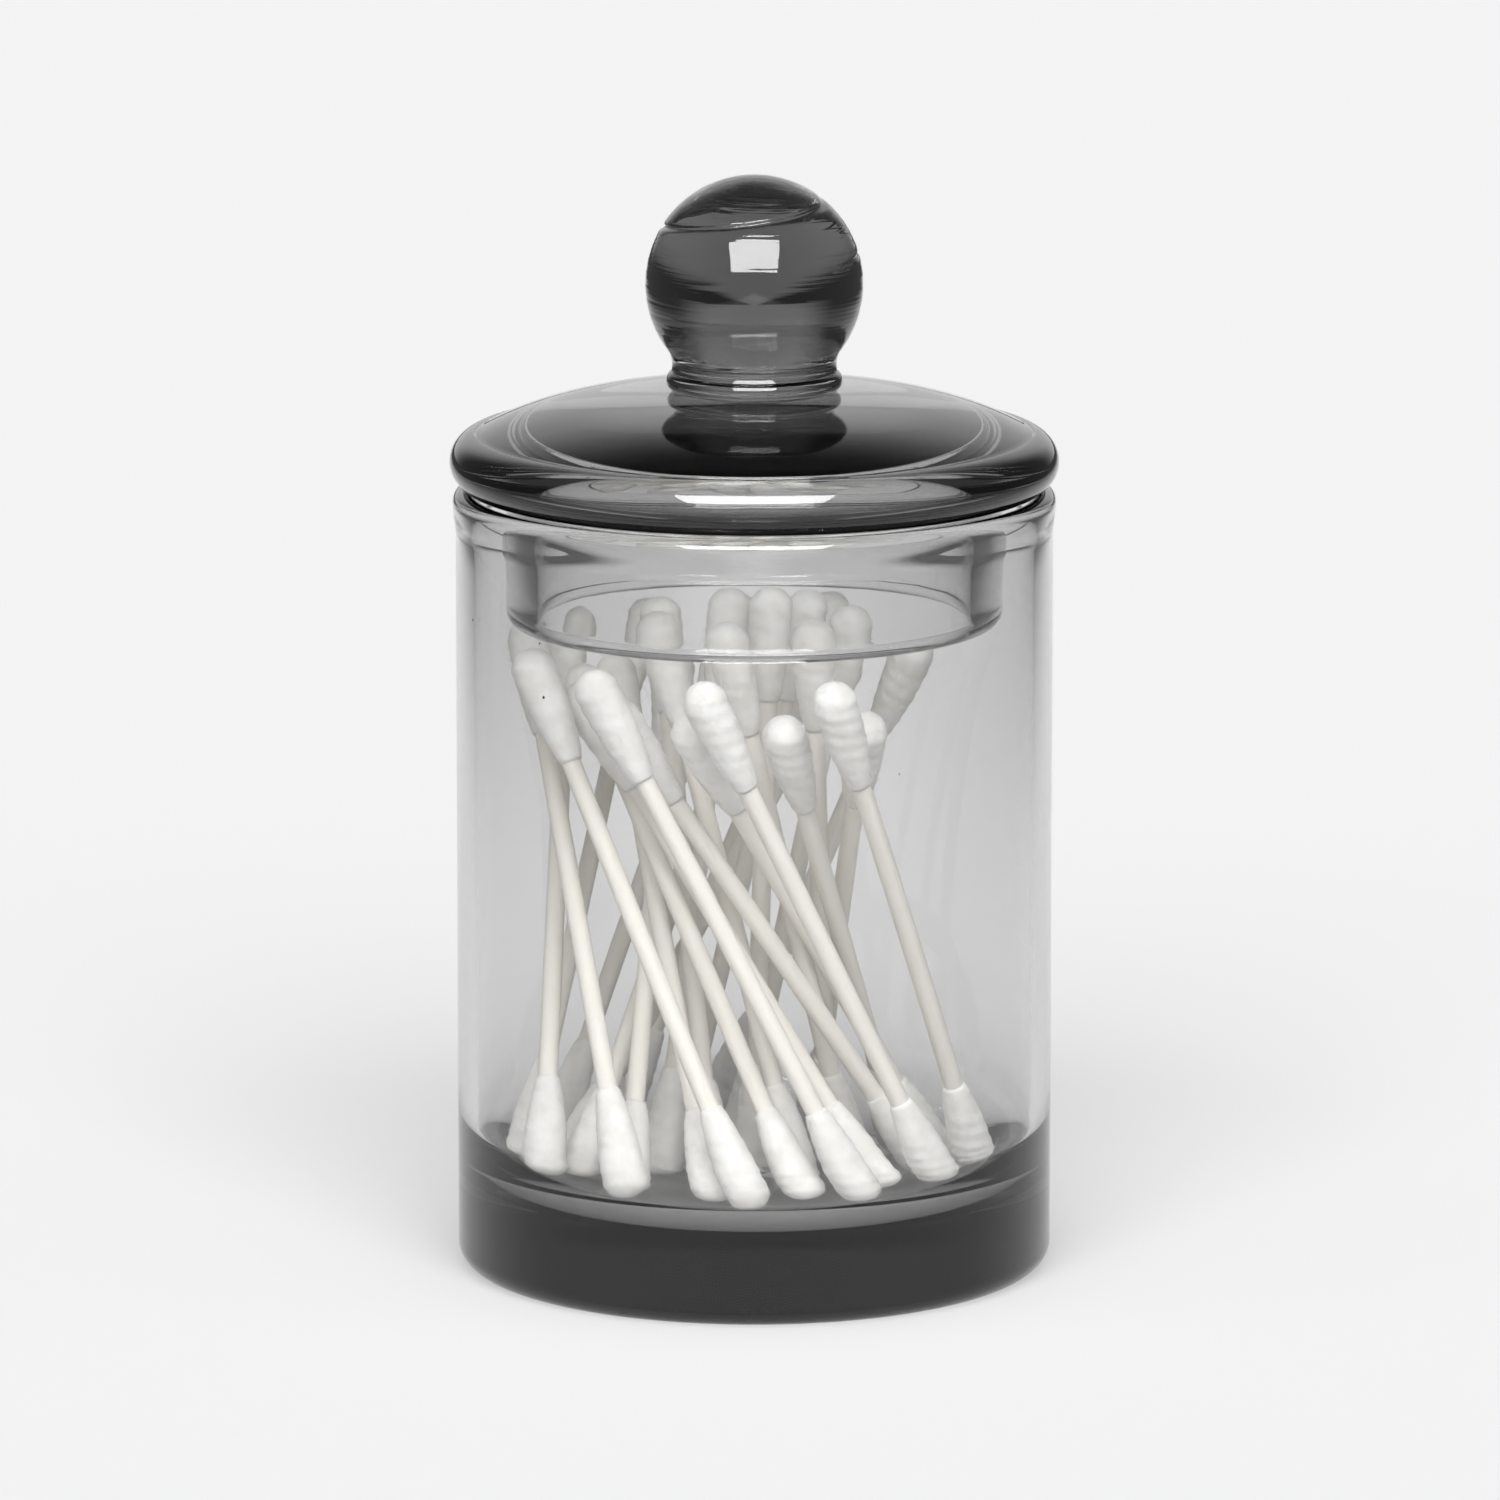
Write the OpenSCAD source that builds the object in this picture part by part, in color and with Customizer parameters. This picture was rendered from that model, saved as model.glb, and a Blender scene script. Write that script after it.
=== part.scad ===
// Hand-made canister of smoky glass: a heavy-based jar, a domed lid with a ball knob,
// and the cotton swabs that stand in the jar.
// Millimetres, +Z up, the origin under the middle of the base, the photographed side at -Y.

/* [Jar] */
// Outside diameter of the straight wall
jar_d = 74; // [70:0.5:90]
// Height of the jar from the table to the top of the rim
jar_h = 98; // [96:1:130]
// Thickness of the wall
wall = 2.4; // [2:0.1:3]
// Thickness of the glass under the floor
base_t = 10; // [6:0.5:14]
// Radius of the large corner between the floor and the wall
corner_r = 9.5; // [7:0.5:12]
// Radius of the rounded heel outside
heel_r = 3; // [1:0.5:5]
// Thickness of the fire-polished roll at the rim
rim_t = 3; // [2.6:0.1:3.6]
// How far the roll swells past the wall outside
rim_swell = 0.35; // [0.1:0.05:0.6]

/* [Lid] */
// How far the lid's edge stands out past the jar's wall
lid_overhang = 0.75; // [0:0.05:2]
// Thickness of the lid's rolled edge
edge_t = 7; // [5:0.5:9]
// Rise of the dome above the rolled edge
dome_h = 5.2; // [3:0.1:9]
// Fullness of the dome, from a cone at 1 towards a flat top
dome_full = 3.4; // [2:0.1:5]
// Play between the collar that hangs in the mouth and the jar's wall
collar_play = 3.85; // [2:0.05:8]
// Thickness of the collar's wall
collar_t = 3.9; // [3:0.1:5]
// Depth of the collar below the lid's underside
collar_h = 16.5; // [10:0.5:18]
// Height of the hollow above the lid's underside, inside the collar
crown_hollow = 2.5; // [1:0.5:5]

/* [Knob] */
// Diameter of the glass ball
knob_d = 27; // [22:0.5:32]
// Diameter of the neck under the ball
neck_d = 20.4; // [16:0.2:21]
// Height of the neck between the dome and the curve that widens into the ball
neck_h = 3.4; // [2.8:0.1:8]
// How far the ring round the neck stands out
ring_swell = 0.7; // [0.2:0.1:1.5]
// Thickness of that ring
ring_t = 2.6; // [1.6:0.2:2.8]

/* [Swabs] */
// Length of a swab over both tips
swab_l = 76; // [70:0.5:77]
// Diameter of the rolled paper stick
stick_d = 2.4; // [1.8:0.1:2.5]
// Largest diameter of a cotton tip
tip_d = 5.6; // [4.6:0.1:5.8]
// Length of a cotton tip
tip_l = 15; // [10:0.5:18]
// How far a stick's end stops short of the end of its cotton
stick_inset = 4; // [3.5:0.5:6]

/* [Hidden] */
$fn = 96;
// Running gap between the lid and the rim it rests on
seat_gap = 0.05;
// Gap between a tip and the glass that carries it
swab_gap = 0.2;
// Gap between a head and the collar above it or round it
head_gap = 0.3;
// Cotton at the inner end of a tip, outside the stick
tip_lip = 0.25;
// How far a foot keeps from the steep part of the large corner
foot_margin = 0.9;
// Fullness of a tip's taper, from pointed above 1 towards blunt below it
tip_fullness = 0.75;
// Radius of the flare where the collar meets the lid, and its gap to the rim's roll
flare_r = 3;
flare_gap = 0.3;
// How much larger the corner of the hollow under the dome is than the hollow's height
crown_ease = 1.5;
// Radius of the hollow curve from the neck to the ball
neck_curve_r = 3;

jar_r = jar_d / 2;
inner_r = jar_r - wall;
corner_start = inner_r - corner_r;
rim_r = rim_t / 2;
rim_mid_r = jar_r + rim_swell - rim_r;
rim_mid_z = jar_h - rim_r;

seat_z = jar_h + seat_gap;
lid_r = jar_r + lid_overhang;
edge_r = edge_t / 2;
dome_r = lid_r - edge_r;
edge_top = seat_z + edge_t;
crown_z = edge_top + dome_h;
collar_r = inner_r - collar_play;
collar_in_r = collar_r - collar_t;
collar_bead_r = collar_t / 2;
collar_bottom = seat_z - collar_h;
collar_fillet = min(flare_r, rim_mid_r - rim_r - collar_r - flare_gap);
crown_fillet = crown_hollow + crown_ease;

knob_r = knob_d / 2;
neck_r = neck_d / 2;
ring_r = ring_t / 2;
ring_z = crown_z + ring_r;
// The hollow curve from the neck to the ball touches both
neck_curve_z = crown_z + neck_h;
knob_z = neck_curve_z + sqrt(pow(knob_r + neck_curve_r, 2) - pow(neck_r + neck_curve_r, 2));
neck_meet = knob_r / (knob_r + neck_curve_r);
neck_meet_r = (neck_r + neck_curve_r) * neck_meet;
neck_meet_z = knob_z - (knob_z - neck_curve_z) * neck_meet;

stick_r = stick_d / 2;
tip_r = tip_d / 2;
swab_span = swab_l - tip_d;
foot_reach = inner_r - tip_r - foot_margin;
head_reach = inner_r - tip_r - swab_gap;

// The bundle is a twisted bunch: rings of swabs, each ring leaning the same way round.
// One row is a ring: how many swabs, how far out the feet and the heads are in percent,
// the turn from head to foot, the direction of the first head, and the arc they share.
// Directions are in degrees, and 270 is the front.
RINGS = [
    [9, 100, 100, 62, 60, 236],
    [10, 82, 74, 118, 40, 290],
    [7, 42, 42, 92, 30, 360],
    [1, 0, 8, 0, 200, 360],
    [1, 100, 70, 80, 20, 0]
];
// How far an end strays from an even ring, in degrees round it and in percent towards the middle
stray_angle = 7;
stray_share = 10;
// How far the turn of a swab strays, in degrees
stray_turn = 10;
// Steps of the wave that the strays follow, from swab to swab and from kind to kind
stray_step = 335;
stray_shift = 84;

function stray(k, kind) = sin(stray_step * k + stray_shift * kind * kind);

// Least turn that keeps a head under the collar, or 0 where the head stands inside the collar
function least_turn(foot_r, head_r) =
    let (
        rise = collar_bottom - head_gap - tip_r - rest_z(foot_r),
        chord = sqrt(max(pow(swab_span, 2) - pow(rise, 2), 0))
    )
    head_r + tip_r + head_gap < collar_in_r || chord <= abs(head_r - foot_r) ? 0
        : acos(max((foot_r * foot_r + head_r * head_r - chord * chord) / (2 * foot_r * head_r), -1));

// One swab: the foot's direction and share, then the head's
function ring_swab(ring, k) =
    let (
        place = ring[4] + k,
        even_angle = ring[4] + ring[5] * (k + 0.5) / ring[0],
        foot_angle = even_angle + ring[3] + stray_turn * stray(place, 5) + stray_angle * stray(place, 1),
        foot_share = ring[1] * (1 - stray_share / 100 * abs(stray(place, 2))),
        head_angle = even_angle + stray_angle * stray(place, 3),
        head_share = ring[2] * (1 - stray_share / 100 * abs(stray(place, 4))),
        least = least_turn(foot_reach * foot_share / 100, head_reach * head_share / 100)
    )
    [max(foot_angle, head_angle + least), foot_share, head_angle, head_share];

LAYOUT = [for (ring = RINGS) for (k = [0 : ring[0] - 1]) ring_swab(ring, k)];

function two_digits(i) = str(i < 9 ? "0" : "", i + 1);
function stick_name(i) = str("swab_", two_digits(i), "_stick");
function tips_name(i) = str("swab_", two_digits(i), "_tips");

// Height of a tip's round end where it rests on the floor or in the large corner
function rest_z(r) = base_t + swab_gap + (r <= corner_start
    ? tip_r
    : corner_r - sqrt(pow(corner_r - tip_r, 2) - pow(r - corner_start, 2)));

function around(angle, r) = [r * cos(angle), r * sin(angle)];
function foot_xy(s) = around(s[0], foot_reach * s[1] / 100);
function head_xy(s) = around(s[2], head_reach * s[3] / 100);
function foot(s) = concat(foot_xy(s), rest_z(norm(foot_xy(s))));
function head(s) = concat(head_xy(s),
    foot(s)[2] + sqrt(pow(swab_span, 2) - pow(norm(head_xy(s) - foot_xy(s)), 2)));

// Puts its children on the line from p to q, with +Z along it
module along(p, q) {
    d = q - p;
    translate(p)
        rotate([0, acos(d[2] / norm(d)), atan2(d[1], d[0])])
            children();
}

// Jar

module jar_outside() {
    square([jar_r - heel_r, rim_mid_z]);
    translate([0, heel_r]) square([jar_r, rim_mid_z - heel_r]);
    translate([jar_r - heel_r, heel_r]) circle(heel_r);
}

module jar_inside() {
    translate([0, base_t]) square([corner_start, jar_h]);
    translate([0, base_t + corner_r]) square([inner_r, jar_h]);
    translate([corner_start, base_t + corner_r]) circle(corner_r);
}

module jar() {
    color("slategray", 0.5)
        rotate_extrude() {
            difference() {
                jar_outside();
                jar_inside();
            }
            translate([rim_mid_r, rim_mid_z]) circle(rim_r);
        }
}

// Lid

function dome_z(r) = edge_top + dome_h * (1 - pow(r / dome_r, dome_full));

module dome_section() {
    steps = 24;
    polygon(concat(
        [[0, seat_z + edge_r]],
        [[dome_r, seat_z + edge_r]],
        [for (k = [steps : -1 : 0]) [dome_r * k / steps, dome_z(dome_r * k / steps)]]
    ));
}

module edge_section() {
    translate([0, seat_z]) square([dome_r, edge_t]);
    translate([dome_r, seat_z + edge_r]) circle(edge_r);
}

module collar_section() {
    translate([collar_in_r, collar_bottom + collar_bead_r])
        square([collar_t, collar_h - collar_bead_r + edge_r]);
    translate([collar_r - collar_bead_r, collar_bottom + collar_bead_r]) circle(collar_bead_r);
    // The flare where the collar was fused to the underside
    difference() {
        translate([collar_r - collar_bead_r, seat_z - collar_fillet])
            square([collar_bead_r + collar_fillet, collar_fillet + edge_r]);
        translate([collar_r + collar_fillet, seat_z - collar_fillet]) circle(collar_fillet);
    }
}

module crown_hollow_section() {
    translate([0, seat_z - edge_r])
        square([collar_in_r - crown_fillet, edge_r + crown_hollow]);
    translate([0, seat_z - edge_r])
        square([collar_in_r, edge_r + crown_hollow - crown_fillet]);
    translate([collar_in_r - crown_fillet, seat_z + crown_hollow - crown_fillet])
        circle(crown_fillet);
}

module neck_section() {
    translate([0, crown_z - ring_r]) square([neck_r, neck_curve_z - crown_z + ring_r]);
    // The curve that widens into the ball
    difference() {
        translate([0, neck_curve_z]) square([neck_meet_r, neck_meet_z - neck_curve_z]);
        translate([neck_r + neck_curve_r, neck_curve_z]) circle(neck_curve_r);
    }
    translate([neck_r + ring_swell - ring_r, ring_z]) circle(ring_r);
}

module lid() {
    color("dimgray", 0.6) {
        rotate_extrude() {
            difference() {
                union() {
                    edge_section();
                    dome_section();
                }
                crown_hollow_section();
            }
            collar_section();
            neck_section();
        }
        translate([0, 0, knob_z]) sphere(knob_r);
    }
}

// Swabs

function tip_outline_r(u) = stick_r + tip_lip + (tip_r - stick_r - tip_lip) * pow(cos(90 * u), tip_fullness);

// One cotton tip, its round end centred on the origin, its taper towards +Z
module tip() {
    taper = tip_l - tip_r;
    steps = 6;
    difference() {
        rotate_extrude($fn = 32) {
            intersection() {
                circle(tip_r);
                translate([0, -tip_r]) square(tip_r);
            }
            polygon(concat(
                [[0, taper], [0, 0]],
                [for (k = [0 : steps]) [tip_outline_r(k / steps), taper * k / steps]]
            ));
        }
        translate([0, 0, stick_inset - tip_r])
            cylinder(h = tip_l, r = stick_r, $fn = 32);
    }
}

module swab_stick(s) {
    color("oldlace")
        along(foot(s), head(s))
            translate([0, 0, stick_inset - tip_r])
                cylinder(h = swab_l - 2 * stick_inset, r = stick_r, $fn = 32);
}

module swab_tips(s) {
    color("white")
        along(foot(s), head(s)) {
            tip();
            translate([0, 0, swab_span]) mirror([0, 0, 1]) tip();
        }
}

jar();
lid();
for (i = [0 : len(LAYOUT) - 1]) {
    swab_stick(LAYOUT[i]);
    swab_tips(LAYOUT[i]);
}
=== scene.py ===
# %% [markdown]
# # A smoky glass canister with cotton swabs
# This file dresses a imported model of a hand-made glass canister. The frame holds the true sizes and
# the motion. Each cell below adds one piece or one finish: the thick glass of the jar, the solid glass
# of the lid and its ball, the paper sticks and the wound cotton.

# %% Load the frame
import math

import bpy
import numpy as np
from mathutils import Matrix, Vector


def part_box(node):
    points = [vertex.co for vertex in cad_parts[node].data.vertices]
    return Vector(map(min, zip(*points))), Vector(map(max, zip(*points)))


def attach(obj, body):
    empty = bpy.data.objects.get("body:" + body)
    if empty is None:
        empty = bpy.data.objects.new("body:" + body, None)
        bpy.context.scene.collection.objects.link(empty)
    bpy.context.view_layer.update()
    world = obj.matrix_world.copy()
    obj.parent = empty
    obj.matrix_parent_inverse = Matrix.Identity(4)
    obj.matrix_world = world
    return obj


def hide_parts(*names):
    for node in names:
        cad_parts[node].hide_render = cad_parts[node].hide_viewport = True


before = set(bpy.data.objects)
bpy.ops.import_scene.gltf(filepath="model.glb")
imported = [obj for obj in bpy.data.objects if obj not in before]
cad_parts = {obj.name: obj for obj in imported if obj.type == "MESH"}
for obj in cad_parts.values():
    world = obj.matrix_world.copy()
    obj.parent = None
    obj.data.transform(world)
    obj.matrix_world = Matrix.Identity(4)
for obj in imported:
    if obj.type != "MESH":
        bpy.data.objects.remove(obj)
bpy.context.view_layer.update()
MM = 0.001
print("pieces in the frame:", len(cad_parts))

# %% [markdown]
# ## Measures
# The jar and the lid are turned shapes, so each needs only its outline. The outside sizes come from the
# frame. Wall, floor and roll are sizes that a box around the jar can't give, so they have names here.

# %% Read the outside sizes
jar_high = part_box("jar")[1]
lid_low, lid_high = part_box("lid")
JAR_TOP = jar_high.z
RIM_SWELL = 0.35 * MM
JAR_R = jar_high.x - RIM_SWELL
WALL = 2.4 * MM
INNER_R = JAR_R - WALL
FLOOR_Z = 10 * MM
CORNER_R = 9.5 * MM
HEEL_R = 3 * MM
ROLL_R = 1.5 * MM
print("jar radius and height in mm:", round(JAR_R / MM, 2), round(JAR_TOP / MM, 2))

# %% [markdown]
# ## Turning an outline
# Blown glass is spun on an iron, so every section of it is round. One helper draws arcs for the outline
# and another turns the outline about the upright axis. A turned mesh keeps its rings even, and glass
# shows every uneven facet, so the mesh is fine and shaded smooth.

# %% Outline and turning helpers
TURN_STEPS = 192

def arc(centre_r, centre_z, radius, start, end, steps):
    """Points of an arc in the outline's plane, with angles in degrees."""
    angles = np.radians(np.linspace(start, end, steps))
    return [(centre_r + radius * math.cos(a), centre_z + radius * math.sin(a)) for a in angles]

def eased(start, end, steps):
    """Points of a soft S curve from one point of the outline to another, ends left out."""
    points = []
    for k in range(1, steps):
        share = k / steps
        ease = (1 - math.cos(math.pi * share)) / 2
        points.append((start[0] + (end[0] - start[0]) * ease, start[1] + (end[1] - start[1]) * share))
    return points

def straight(start, end, steps):
    """Points of a straight stretch of the outline, ends left out."""
    return [(start[0] + (end[0] - start[0]) * k / steps, start[1] + (end[1] - start[1]) * k / steps)
            for k in range(1, steps)]

def mesh_object(name, verts, faces):
    """A smooth-shaded mesh object from points and faces."""
    mesh = bpy.data.meshes.new(name)
    mesh.from_pydata([tuple(v) for v in verts], [], [tuple(f) for f in faces])
    mesh.update()
    mesh.polygons.foreach_set("use_smooth", [True] * len(mesh.polygons))
    piece = bpy.data.objects.new(name, mesh)
    bpy.context.scene.collection.objects.link(piece)
    return piece

def turned(name, outline, unevenness=None):
    """Turns an outline that starts and ends on the axis. unevenness moves the points of the surface."""
    rings = np.array(outline[1:-1])
    angles = np.linspace(0, 2 * math.pi, TURN_STEPS, endpoint=False)
    radius = rings[:, 0][:, None] * np.ones(TURN_STEPS)
    height = rings[:, 1][:, None] * np.ones(TURN_STEPS)
    points = np.stack([radius * np.cos(angles), radius * np.sin(angles), height], axis=-1)
    if unevenness:
        points = unevenness(points, angles)
    verts = [(0, 0, outline[0][1])] + points.reshape(-1, 3).tolist() + [(0, 0, outline[-1][1])]
    count = len(rings)
    last = len(verts) - 1
    faces = []
    for k in range(TURN_STEPS):
        n = (k + 1) % TURN_STEPS
        faces.append((0, 1 + n, 1 + k))
        faces.append((last, 1 + (count - 1) * TURN_STEPS + k, 1 + (count - 1) * TURN_STEPS + n))
        for i in range(count - 1):
            low = 1 + i * TURN_STEPS
            high = low + TURN_STEPS
            faces.append((low + k, low + n, high + n, high + k))
    return mesh_object(name, verts, faces)

def ring(name, outline):
    """Turns a closed outline that keeps clear of the axis."""
    count = len(outline)
    verts = [(r * math.cos(2 * math.pi * k / TURN_STEPS), r * math.sin(2 * math.pi * k / TURN_STEPS), z)
             for r, z in outline for k in range(TURN_STEPS)]
    faces = []
    for i in range(count):
        low = i * TURN_STEPS
        high = (i + 1) % count * TURN_STEPS
        for k in range(TURN_STEPS):
            n = (k + 1) % TURN_STEPS
            faces.append((low + k, low + n, high + n, high + k))
    return mesh_object(name, verts, faces)

def rectangle(name, width, depth, z):
    """A flat rectangle round the axis, at a height z."""
    x = width / 2
    y = depth / 2
    return mesh_object(name, [(-x, -y, z), (x, -y, z), (x, y, z), (-x, y, z)], [(0, 1, 2, 3)])

print("helpers ready, with", TURN_STEPS, "steps round the axis")

# %% [markdown]
# ## Wiring a material
# A node material is a circuit. Each node does one small sum, and its output feeds a socket of the next. The
# helpers add a node with its values and its wires in one go. A value that is the same all over a surface is
# set on the shader's own socket, where other programs can read it too.

# %% Node helpers
def set_sockets(tree, node, sockets):
    """Gives each socket a plain value, or joins it to the output of another node."""
    for name, value in sockets.items():
        if isinstance(value, bpy.types.NodeSocket):
            tree.links.new(value, node.inputs[name])
        else:
            node.inputs[name].default_value = value

def add_node(tree, kind, sockets=None, **settings):
    """Adds a node, with its settings and what goes on its sockets."""
    node = tree.nodes.new("ShaderNode" + kind)
    for name, value in settings.items():
        setattr(node, name, value)
    set_sockets(tree, node, sockets or {})
    return node

def maths(tree, operation, *values, use_clamp=False):
    """The output of a sum. Each value is a number or the output of a node."""
    settings = {"operation": operation, "use_clamp": use_clamp}
    return add_node(tree, "Math", dict(enumerate(values)), **settings).outputs["Value"]

def bare_material(name, colour, roughness):
    """A new material with its tree of nodes and its shader."""
    material = bpy.data.materials.new(name)
    material.use_nodes = True
    shader = material.node_tree.nodes["Principled BSDF"]
    set_sockets(material.node_tree, shader, {"Base Color": (*colour, 1), "Roughness": roughness})
    return material, material.node_tree, shader

print("node helpers ready")

# %% [markdown]
# ## Smoky glass
# The glass is clear at its surface and grey in its body, so a thick part is darker than a thin one. A
# volume absorption inside a clear glass shader does just that: the wall stays pale, while the heavy base
# turns nearly black. Each gather of glass has its own strength of grey. Rays to the lamp pass straight
# through, so the cotton inside is lit without noise. A faint ripple keeps the surface from looking machined.

# %% Glass material
GLASS_IOR = 1.5
LAMP_RAYS_PASS = 0.88
RIPPLE_SCALE = (60, 60, 240)
RIPPLE_DEPTH = 0.2 * MM
JAR_DENSITY = 62
DOME_DENSITY = 56
BALL_DENSITY = 84
COLLAR_DENSITY = 22

def glass_material(name, density, ripple):
    """Clear glass with a grey body. density is the darkening per metre, and ripple the waves' strength."""
    material, tree, glass = bare_material(name, (1, 1, 1), 0)
    place = add_node(tree, "TexCoord")
    stretch = add_node(tree, "Mapping", {"Vector": place.outputs["Object"], "Scale": RIPPLE_SCALE})
    waves = add_node(tree, "TexNoise", {"Vector": stretch.outputs["Vector"], "Scale": 1, "Detail": 2})
    ripples = {"Height": waves.outputs["Fac"], "Strength": ripple, "Distance": RIPPLE_DEPTH}
    bump = add_node(tree, "Bump", ripples)
    set_sockets(tree, glass, {"Transmission Weight": 1, "IOR": GLASS_IOR, "Normal": bump.outputs["Normal"]})
    rays = add_node(tree, "LightPath")
    open_way = add_node(tree, "BsdfTransparent", {"Color": (LAMP_RAYS_PASS,) * 3 + (1,)})
    choice = add_node(tree, "MixShader", {"Fac": rays.outputs["Is Shadow Ray"], 1: glass.outputs["BSDF"],
                                          2: open_way.outputs["BSDF"]})
    body = add_node(tree, "VolumeAbsorption", {"Color": (0, 0, 0, 1), "Density": density})
    set_sockets(tree, tree.nodes["Material Output"], {"Surface": choice.outputs["Shader"],
                                                      "Volume": body.outputs["Volume"]})
    return material

jar_glass = glass_material("smoke_glass_jar", JAR_DENSITY, 0.03)
lid_glass = glass_material("smoke_glass_lid", DOME_DENSITY, 0.06)
ball_glass = glass_material("smoke_glass_ball", BALL_DENSITY, 0.1)
collar_glass = glass_material("smoke_glass_collar", COLLAR_DENSITY, 0.05)
print("glass darkens to", round(math.exp(-JAR_DENSITY * WALL), 2), "through one wall")

# %% [markdown]
# ## The jar
# The real jar was blown, opened and fire-polished: its rim is a soft roll, its heel is round, and inside
# the wall runs into a thick floor through a large corner. The outline follows the outside from the middle
# of the base to the rim and comes back down inside.

# %% Turn the jar
ROLL_EASE = 4 * MM
roll_mid_r = JAR_R + RIM_SWELL - ROLL_R
roll_mid_z = JAR_TOP - ROLL_R

jar_outline = [(0, 0)]
jar_outline += straight((0, 0), (JAR_R - HEEL_R, 0), 10)
jar_outline += arc(JAR_R - HEEL_R, HEEL_R, HEEL_R, -90, 0, 14)
jar_outline += straight((JAR_R, HEEL_R), (JAR_R, roll_mid_z - ROLL_EASE), 24)
jar_outline += [(JAR_R, roll_mid_z - ROLL_EASE)]
jar_outline += eased((JAR_R, roll_mid_z - ROLL_EASE), (roll_mid_r + ROLL_R, roll_mid_z), 8)
jar_outline += arc(roll_mid_r, roll_mid_z, ROLL_R, 0, 180, 25)
jar_outline += eased((roll_mid_r - ROLL_R, roll_mid_z), (INNER_R, roll_mid_z - ROLL_EASE), 8)
jar_outline += [(INNER_R, roll_mid_z - ROLL_EASE)]
jar_outline += straight((INNER_R, roll_mid_z - ROLL_EASE), (INNER_R, FLOOR_Z + CORNER_R), 24)
jar_outline += arc(INNER_R - CORNER_R, FLOOR_Z + CORNER_R, CORNER_R, 0, -90, 28)
jar_outline += straight((INNER_R - CORNER_R, FLOOR_Z), (0, FLOOR_Z), 10)
jar_outline += [(0, FLOOR_Z)]

jar = turned("jar_glass", jar_outline)
jar.data.materials.append(jar_glass)
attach(jar, "jar")
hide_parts("jar")
print("jar faces:", len(jar.data.polygons))

# %% [markdown]
# ## The lid
# The lid is solid glass, joined hot from three gathers: a dome with a rolled edge, a thick collar below
# it, and a short neck with a ring that carries the ball. The photograph shows three tones of grey, the ball
# the darkest and the collar the palest. So each gather is a closed outline with its own glass, and a seam
# of a fiftieth of a millimetre keeps their surfaces apart.

# %% Outline of the lid
LID_R = lid_high.x
COLLAR_BOTTOM = lid_low.z
COLLAR_H = 16.5 * MM
SEAT_Z = COLLAR_BOTTOM + COLLAR_H
COLLAR_R = 30.75 * MM
COLLAR_WALL = 3.9 * MM
BEAD_R = COLLAR_WALL / 2
FLARE_R = 3 * MM
HOLLOW_H = 2.5 * MM
HOLLOW_CORNER = 0.8 * MM
SEAM = 0.02 * MM
EDGE_R = 3.5 * MM
DOME_R = LID_R - EDGE_R
EDGE_TOP = SEAT_Z + 2 * EDGE_R
DOME_H = 5.2 * MM
DOME_FULL = 3.4
BALL_R = 13.5 * MM
BALL_Z = lid_high.z - BALL_R
NECK_R = 10.2 * MM
NECK_CURVE = 3 * MM
RING_SWELL = 0.7 * MM
RING_R = 1.3 * MM

def dome_height(radius):
    """Height of the dome's top at a distance from the axis."""
    return EDGE_TOP + DOME_H * (1 - (radius / DOME_R) ** DOME_FULL)

collar_in = COLLAR_R - COLLAR_WALL
hollow_top = SEAT_Z + HOLLOW_H
crown = EDGE_TOP + DOME_H
ring_z = crown + RING_R
ring_mid_r = NECK_R + RING_SWELL - RING_R
ring_end = math.degrees(math.acos((NECK_R - ring_mid_r) / RING_R))
neck_bend_z = BALL_Z - math.sqrt((BALL_R + NECK_CURVE) ** 2 - (NECK_R + NECK_CURVE) ** 2)
bend_angle = math.degrees(math.atan2(BALL_Z - neck_bend_z, NECK_R + NECK_CURVE))

lid_outline = [(0, hollow_top)]
lid_outline += straight((0, hollow_top), (collar_in - HOLLOW_CORNER, hollow_top), 10)
lid_outline += arc(collar_in - HOLLOW_CORNER, hollow_top - HOLLOW_CORNER, HOLLOW_CORNER, 90, 0, 12)
lid_outline += straight((collar_in, hollow_top - HOLLOW_CORNER), (collar_in, SEAT_Z), 3)
lid_outline += [(collar_in, SEAT_Z)]
lid_outline += straight((collar_in, SEAT_Z), (DOME_R, SEAT_Z), 6)
lid_outline += arc(DOME_R, SEAT_Z + EDGE_R, EDGE_R, -90, 90, 40)
lid_outline += [(r, dome_height(r)) for r in np.linspace(DOME_R, 0, 70)[1:-1]]
lid_outline += [(0, crown)]

ball_outline = [(0, crown + SEAM)]
ball_outline += straight((0, crown + SEAM), (ring_mid_r, crown + SEAM), 6)
ball_outline += arc(ring_mid_r, ring_z + SEAM, RING_R, -90, ring_end, 20)
ball_outline += arc(NECK_R + NECK_CURVE, neck_bend_z, NECK_CURVE, 180, 180 - bend_angle, 16)
ball_outline += arc(0, BALL_Z, BALL_R, -bend_angle, 89, 160)[1:]
ball_outline += [(0, BALL_Z + BALL_R)]
print("outline points of the lid:", len(lid_outline) + len(ball_outline))

# %% [markdown]
# ## Marks of the hand
# The ball was gathered on an iron and turned, so it is wound with faint level lines, and one fold of
# glass runs round it like a thread. Each is a shallow push of the surface towards the axis, worked out
# from the height and the direction of the point, so no mark is placed one by one. Four sets of lines lie
# over one another, each with its pitch in millimetres, how it leans, and where it starts. The dome and the
# edge keep only a slow wave, because the paddle left them smooth.

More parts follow.
